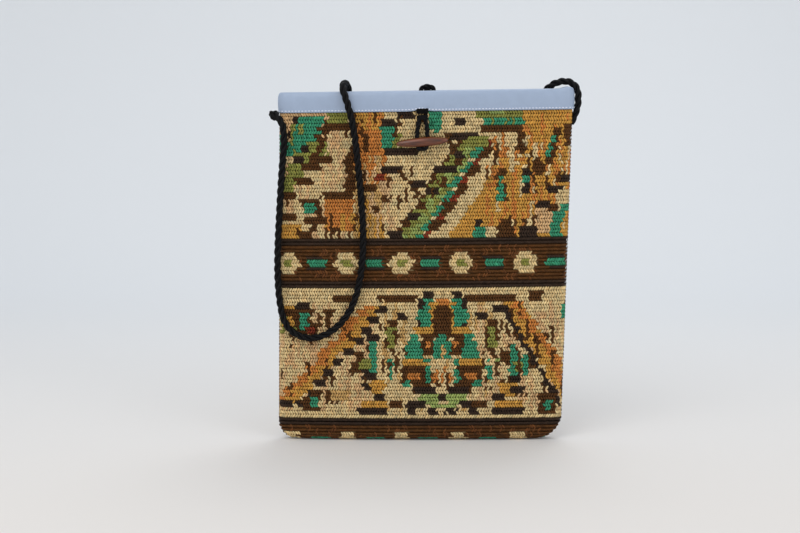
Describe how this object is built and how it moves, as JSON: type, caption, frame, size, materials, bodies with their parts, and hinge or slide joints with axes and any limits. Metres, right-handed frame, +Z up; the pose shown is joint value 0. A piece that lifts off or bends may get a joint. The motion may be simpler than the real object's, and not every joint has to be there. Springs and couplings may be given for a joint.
{
  "type": "woven shoulder pouch",
  "caption": "Flat woven tapestry shoulder pouch with a bound mouth, lining, toggle and loop closure and a twisted cord strap.",
  "frame": {"origin": "middle of the flat base that the pouch stands on", "axes": "+Z up, +X to the right along the mouth, +Y from the front wall to the back wall"},
  "size_m": [0.2173, 0.0323, 0.254],
  "materials": {
    "tapestry": "coarse slanted wrapped stitches in cream, gold, brown, teal and olive wool",
    "lining": "smooth plain cotton",
    "binding": "smooth blue-grey satin cloth",
    "topstitch": "pale thread",
    "seam_thread": "dark brown thread",
    "black_cord": "black twisted cord",
    "toggle_wood": "reddish-brown polished wood"
  },
  "bodies": {
    "pouch": {"base_fold": "tapestry", "lining_base": "lining", "back_panel": "tapestry", "back_lining": "lining", "side_seam_left": "tapestry", "side_seam_right": "tapestry", "seam_thread_left": "seam_thread", "seam_thread_right": "seam_thread", "back_binding": "binding", "back_topstitch": "topstitch", "loop_tack": "black_cord", "strap": "black_cord", "strap_knot": "black_cord"},
    "front_wall": {"front_panel": "tapestry", "front_lining": "lining", "front_binding": "binding", "front_topstitch": "topstitch", "toggle_cord_root": "black_cord"},
    "toggle_hanger": {"toggle_whipping": "black_cord"},
    "toggle_drop": {"toggle_cord": "black_cord", "toggle": "toggle_wood"},
    "loop": {"closing_loop": "black_cord"}
  },
  "joints": [
    {"name": "mouth_open", "type": "hinge", "parent": "pouch", "child": "front_wall", "pos_m": [0, -0.0078, 0.0123], "axis": [1, 0, 0], "range_deg": [0, 6.5], "stiffness_Nm_per_rad": 0.4, "deforming": ["strap"]},
    {"name": "toggle_swing", "type": "hinge", "parent": "front_wall", "child": "toggle_hanger", "pos_m": [-0.0017, -0.0113, 0.2272], "axis": [-1, 0, 0], "range_deg": [0, 145]},
    {"name": "toggle_sway", "type": "hinge", "parent": "toggle_hanger", "child": "toggle_drop", "pos_m": [-0.0017, -0.0115, 0.22531], "axis": [0, -0.9945, 0.1047], "range_deg": [-20, 20]},
    {"name": "loop_lean", "type": "hinge", "parent": "pouch", "child": "loop", "pos_m": [0.002, 0.003, 0.2322], "axis": [1, 0, 0], "range_deg": [0, 18], "stiffness_Nm_per_rad": 0.001}
  ]
}
